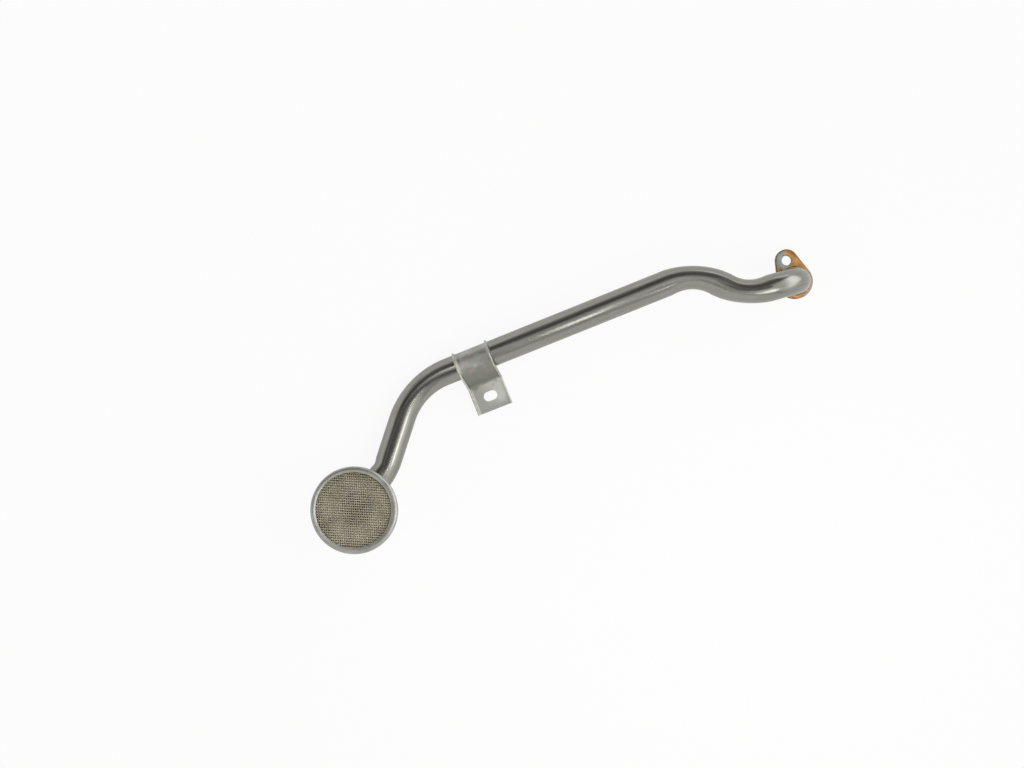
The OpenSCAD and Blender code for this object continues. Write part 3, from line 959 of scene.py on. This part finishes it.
def outline_depth(tree, coords):
    """Depth of a point inside the flange's outline."""
    ear = BOLT_CENTRE.xy
    axis = ear.normalized()
    along = measure(tree, "DOT_PRODUCT", coords, (axis.x, axis.y, 0))
    across = calc(tree, "ABSOLUTE", measure(tree, "DOT_PRODUCT", coords, (axis.y, -axis.x, 0)))
    lean = (FLANGE_END_R - FLANGE_EAR_R) / ear.length
    slope = math.sqrt(1 - lean * lean)
    taper = total(tree, product(tree, across, slope), product(tree, along, lean))
    side = calc(tree, "SUBTRACT", FLANGE_END_R, taper)
    station = calc(tree, "SUBTRACT", product(tree, along, slope), product(tree, across, lean))
    depth = side
    ends = (
        (calc(tree, "LESS_THAN", station, 0), 0, FLANGE_END_R),
        (calc(tree, "GREATER_THAN", station, slope * ear.length), ear.length, FLANGE_EAR_R),
    )
    for inside, centre, radius in ends:
        squares = [calc(tree, "POWER", leg, 2) for leg in (calc(tree, "SUBTRACT", along, centre), across)]
        away = calc(tree, "SQRT", total(tree, *squares))
        extra = calc(tree, "SUBTRACT", calc(tree, "SUBTRACT", radius, away), side)
        depth = total(tree, depth, product(tree, inside, extra))
    return depth


def flange_finish():
    """Copper wash on steel: bare where the bolt's head wore one side of its seat, rubbed grey at the right, brown
    at the ear's tip, with painted shade along the edges."""
    material, tree, skin, coords = new_finish("copper_washed_flange")
    clouds = blotches(tree, coords, scale=260, detail=6)
    fringe = ragged(tree, coords, 3 * MM, scale=420, low=0.2, high=0.8)
    seat = vector(tree, "SUBTRACT", coords, BOLT_CENTRE)

    def ragged_step(distance, start, full):
        return soft_step(tree, total(tree, distance, fringe), start, full)

    copper = mixed(tree, clouds, COPPER_DARK, COPPER_LIGHT)
    steel = mixed(tree, clouds, SEAT_DARK, SEAT_LIGHT)
    worn_side = ragged_step(measure(tree, "DOT_PRODUCT", seat, SEAT_COPPER_WAY), start=1.2 * MM, full=-0.3 * MM)
    under_head = ragged_step(measure(tree, "LENGTH", seat), start=9.5 * MM, full=7.5 * MM)
    colour = mixed(tree, product(tree, worn_side, under_head), copper, steel)
    rubbed = ragged_step(measure(tree, "DOT_PRODUCT", coords, FLANGE_RUBBED_WAY), start=6 * MM, full=9.5 * MM)
    colour = tinted(tree, colour, rubbed, FLANGE_RUBBED, share=0.75)
    ear_tip = ragged_step(measure(tree, "DOT_PRODUCT", seat, EAR_TIP_WAY), start=3.5 * MM, full=6 * MM)
    colour = tinted(tree, colour, ear_tip, EAR_TIP_BROWN, share=0.55)
    edge = total(tree, outline_depth(tree, coords), product(tree, fringe, EDGE_FRINGE))
    # Painted shade: a dark band along the flange's rounded outline
    edge_shade = soft_step(tree, edge, start=0.9 * MM, full=0.1 * MM)
    feed(tree, skin["Base Color"], tinted(tree, colour, edge_shade, EDGE_SHADE, share=0.7))
    feed(tree, skin["Roughness"], ranged(tree, clouds, low=0.28, high=0.5))
    bumped(tree, skin, clouds, strength=0.3, distance=0.05 * MM)
    return material


def braze_finish():
    """Copper braze metal with a slightly rippled skin."""
    material, tree, skin, coords = new_finish("copper_braze")
    ripples = blotches(tree, coords, scale=700)
    clouds = blotches(tree, coords, scale=200)
    feed(tree, skin["Base Color"], mixed(tree, clouds, BRAZE_DARK, BRAZE_LIGHT))
    feed(tree, skin["Roughness"], ranged(tree, ripples, low=0.25, high=0.45))
    bumped(tree, skin, ripples, strength=0.5, distance=0.06 * MM)
    return material


def screen_finish():
    """Dull oily wire, browner in patches."""
    material, tree, skin, coords = new_finish("screen_wire")
    clouds = blotches(tree, coords, scale=90, detail=5)
    specks = blotches(tree, coords, scale=800, detail=3)
    feed(tree, skin["Base Color"], mixed(tree, clouds, WIRE_DARK, WIRE_LIGHT))
    feed(tree, skin["Roughness"], ranged(tree, specks, low=0.6, high=0.75))
    return material


# Studio

LENS_PX = 1732
IMAGE_W_PX = 1024
SENSOR_W = 36
CAMERA_PLACE = (-205.8 * MM, -74.65 * MM, 1263 * MM)
CAMERA_REACH = 100
WHITE = (1, 1, 1, 1)
FLOOR_SIZE = 40
FLOOR_MATT = (0.9, 0.9, 0.9, 1)
# Share of plain white in the floor, as the camera and as the metal see it
FLOOR_WHITE = 0.9
FLOOR_WHITE_IN_METAL = 0.3
# Room. A place on its ceiling is the level part of a direction over its rise. Each step, span and band lies along
# the direction named before it.
ROOM_LEVEL = 0.92
ROOM_TINT = (1, 1, 0.985, 1)
LOWEST_RISE = 0.02
BRIGHT_SIDE_LIGHT = 1.1
BRIGHT_SIDE_WAY = (0.961, 0.276)
BRIGHT_SIDE_STEP = (0.4, 1.5)
BRIGHT_SIDE_ACROSS = (-0.276, 0.961)
BRIGHT_SIDE_SPAN = (-2.2, -0.3, 3.6, 5.2)
BACK_WALL_DARK = 0.86
BACK_WALL_WAY = (-0.55, 0.835)
BACK_WALL_BAND = (0, 0.7, 1, 3.5)
BACK_WALL_SIDE = (0.835, 0.55)
BACK_WALL_SIDE_STEP = (-1.3, -0.6)
BACK_WALL_END = (0.839, -0.545)
BACK_WALL_END_STEP = (0.15, -0.25)
SEAM_DARK = 0.42
SEAM_WAY = (0.707, 0.707)
SEAM_BAND = (-1, -0.75, -0.38, -0.08)
# Small lamps overhead: middle, heading, size along it, size across it and power
OVERHEAD_LAMPS = {
    "run_lamp": ((-0.187, -0.1765, 0.4), 201.75, 0.02, 0.16, 0.074),
    "elbow_lamp": ((-0.02, -0.36, 1), 201.75, 0.12, 0.3, 0.1),
    "leg_lamp": ((0.04, -0.23, 0.4), 162, 0.18, 0.15, 0.24),
    "bend_lamp": ((-0.318, -0.027, 0.2), 212, 0.035, 0.045, 0.01),
}
# Cards over the tube: two ends of the middle line, half the width, heading across it, height and grey
MIRRORED_CARDS = {
    "leg_card": ((-0.25, -0.13), (-0.346, -0.098), 0.035, 252, 0.12, 0.16),
    "bend_card": ((-0.062, -0.004), (-0.026, 0.005), 0.014, 106, 0.088, 0.3),
    "crest_card": ((-0.118, -0.043), (-0.074, -0.044), 0.02, 111.75, 0.12, 0.67),
}


def camera():
    """Camera straight above the part, as the photograph was taken."""
    data = bpy.data.cameras.new("camera")
    data.sensor_width = SENSOR_W
    data.lens = SENSOR_W * LENS_PX / IMAGE_W_PX
    data.clip_end = CAMERA_REACH
    view = new_piece("camera", data)
    view.location = CAMERA_PLACE
    bpy.context.scene.camera = view


def staged(name, corners, material):
    """Flat piece of the stage."""
    mesh = bpy.data.meshes.new(name)
    mesh.from_pydata(corners, [], [(0, 1, 2, 3)])
    mesh.materials.append(material)
    return new_piece(name, mesh)


def studio_floor():
    """White floor that keeps a soft shadow of the part."""
    material = bpy.data.materials.new("floor_white")
    material.use_nodes = True
    tree = material.node_tree
    tree.nodes.clear()
    path = add(tree, "ShaderNodeLightPath").outputs
    by_camera = product(tree, path["Is Camera Ray"], FLOOR_WHITE)
    by_metal = product(tree, path["Is Glossy Ray"], FLOOR_WHITE_IN_METAL)
    matt = add(tree, "ShaderNodeBsdfDiffuse", {"Color": FLOOR_MATT}).outputs[0]
    glow = add(tree, "ShaderNodeEmission", {"Color": WHITE, "Strength": 1}).outputs[0]
    blend = {0: calc(tree, "MAXIMUM", by_camera, by_metal), 1: matt, 2: glow}
    add(tree, "ShaderNodeOutputMaterial", {"Surface": add(tree, "ShaderNodeMixShader", blend).outputs[0]})
    half = FLOOR_SIZE / 2
    corners = [(x, y, FLOOR_Z) for x, y in ((-half, -half), (half, -half), (half, half), (-half, half))]
    floor = staged("floor", corners, material)


def dimmed(tree, level, mask, share):
    """A light level, less a share of it where a mask is 1."""
    return product(tree, level, calc(tree, "SUBTRACT", 1, product(tree, mask, share)))


def studio_dome():
    """Pale room, brighter at the right, with a dark back wall that draws the tube's dark band and a dim seam in
    front."""
    world = bpy.data.worlds.new("studio")
    bpy.context.scene.world = world
    world.use_nodes = True
    tree = world.node_tree
    tree.nodes.clear()
    way = xyz_parts(tree, add(tree, "ShaderNodeTexCoord").outputs["Generated"])
    rise = calc(tree, "MAXIMUM", way["Z"], LOWEST_RISE)
    x, y = [calc(tree, "DIVIDE", way[axis], rise) for axis in "XY"]

    def along(heading):
        """Distance of a place on the ceiling from the zenith, measured along a heading."""
        return total(tree, product(tree, x, heading[0]), product(tree, y, heading[1]))

    bright = soft_step(tree, along(BRIGHT_SIDE_WAY), *BRIGHT_SIDE_STEP)
    bright = product(tree, bright, window(tree, along(BRIGHT_SIDE_ACROSS), *BRIGHT_SIDE_SPAN))
    wall = window(tree, along(BACK_WALL_WAY), *BACK_WALL_BAND)
    wall = product(tree, wall, soft_step(tree, along(BACK_WALL_SIDE), *BACK_WALL_SIDE_STEP))
    wall = product(tree, wall, soft_step(tree, along(BACK_WALL_END), *BACK_WALL_END_STEP))
    seam = window(tree, along(SEAM_WAY), *SEAM_BAND)
    level = total(tree, product(tree, bright, BRIGHT_SIDE_LIGHT), ROOM_LEVEL)
    level = dimmed(tree, dimmed(tree, level, wall, BACK_WALL_DARK), seam, SEAM_DARK)
    seen = add(tree, "ShaderNodeLightPath").outputs["Is Camera Ray"]
    lit = add(tree, "ShaderNodeBackground", {"Color": ROOM_TINT, "Strength": level}).outputs[0]
    plain = add(tree, "ShaderNodeBackground", {"Color": WHITE, "Strength": 1}).outputs[0]
    blend = add(tree, "ShaderNodeMixShader", {0: seen, 1: lit, 2: plain})
    add(tree, "ShaderNodeOutputWorld", {"Surface": blend.outputs[0]})


def overhead_lamps():
    """Lamps that put short bright streaks on the tube."""
    for name, (middle, heading, length, width, power) in OVERHEAD_LAMPS.items():
        data = bpy.data.lights.new(name, "AREA")
        data.shape = "RECTANGLE"
        data.size, data.size_y = length, width
        data.energy = power
        lamp = new_piece(name, data)
        lamp.location = middle
        lamp.rotation_euler = (0, 0, math.radians(heading))
        lamp.visible_camera = False


def mirrored_cards():
    """Grey cards that only the metal mirrors: two draw the dark bands of the lower leg and of the S-bend's hollow,
    and one keeps a lamp's streak off the S-bend."""
    for name, (start, stop, half_w, heading, level, grey) in MIRRORED_CARDS.items():
        lean = flat(heading) * half_w
        ends = [Vector((x, y, level)) for x, y in (start, stop)]
        material = bpy.data.materials.new(name)
        material.use_nodes = True
        shader = material.node_tree.nodes["Principled BSDF"]
        shader.inputs["Base Color"].default_value = (grey, grey, grey, 1)
        corners = [ends[0] - lean, ends[0] + lean, ends[1] + lean, ends[1] - lean]
        card = staged(name, corners, material)
        card.visible_camera = card.visible_diffuse = card.visible_shadow = False


# The part

def place(piece, node, material=None):
    """Puts a finished piece in the place of its solid."""
    if material:
        piece.data.materials.clear()
        piece.data.materials.append(material)
    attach(piece, "root")
    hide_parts(node)


def build_part():
    """Every piece of the part, with its finish."""
    corners = route_corners()
    bends = bend_parts(corners, [ELBOW_R, *PLAN_BEND_RADII, INLET_R])
    stations = centreline(corners, bends)
    braze = braze_finish()
    flange_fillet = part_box("flange_braze")[1].z - FLANGE_T
    collar_fillet = COLLAR_END_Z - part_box("collar_braze")[0].z
    strap = strap_frame(bends)
    place(pickup_tube(stations, tube_finish()), "pickup_tube")
    place(mounting_flange(), "mounting_flange", flange_finish())
    place(braze_ring("flange_fillet", (0, 0), FLANGE_T, flange_fillet, 1, FLANGE_BRAZE_SEED),
          "flange_braze", braze)
    place(support_bracket(*strap), "support_bracket", bracket_finish(*strap))
    place(strainer_cup(), "strainer_cup", cup_finish())
    place(braze_ring("collar_fillet", (CUP_X, CUP_Y), COLLAR_END_Z, collar_fillet, -1, COLLAR_BRAZE_SEED),
          "collar_braze", braze)
    place(woven_screen(screen_finish()), "screen")


bpy.context.scene.view_settings.view_transform = "Standard"
camera()
studio_floor()
studio_dome()
overhead_lamps()
mirrored_cards()
build_part()
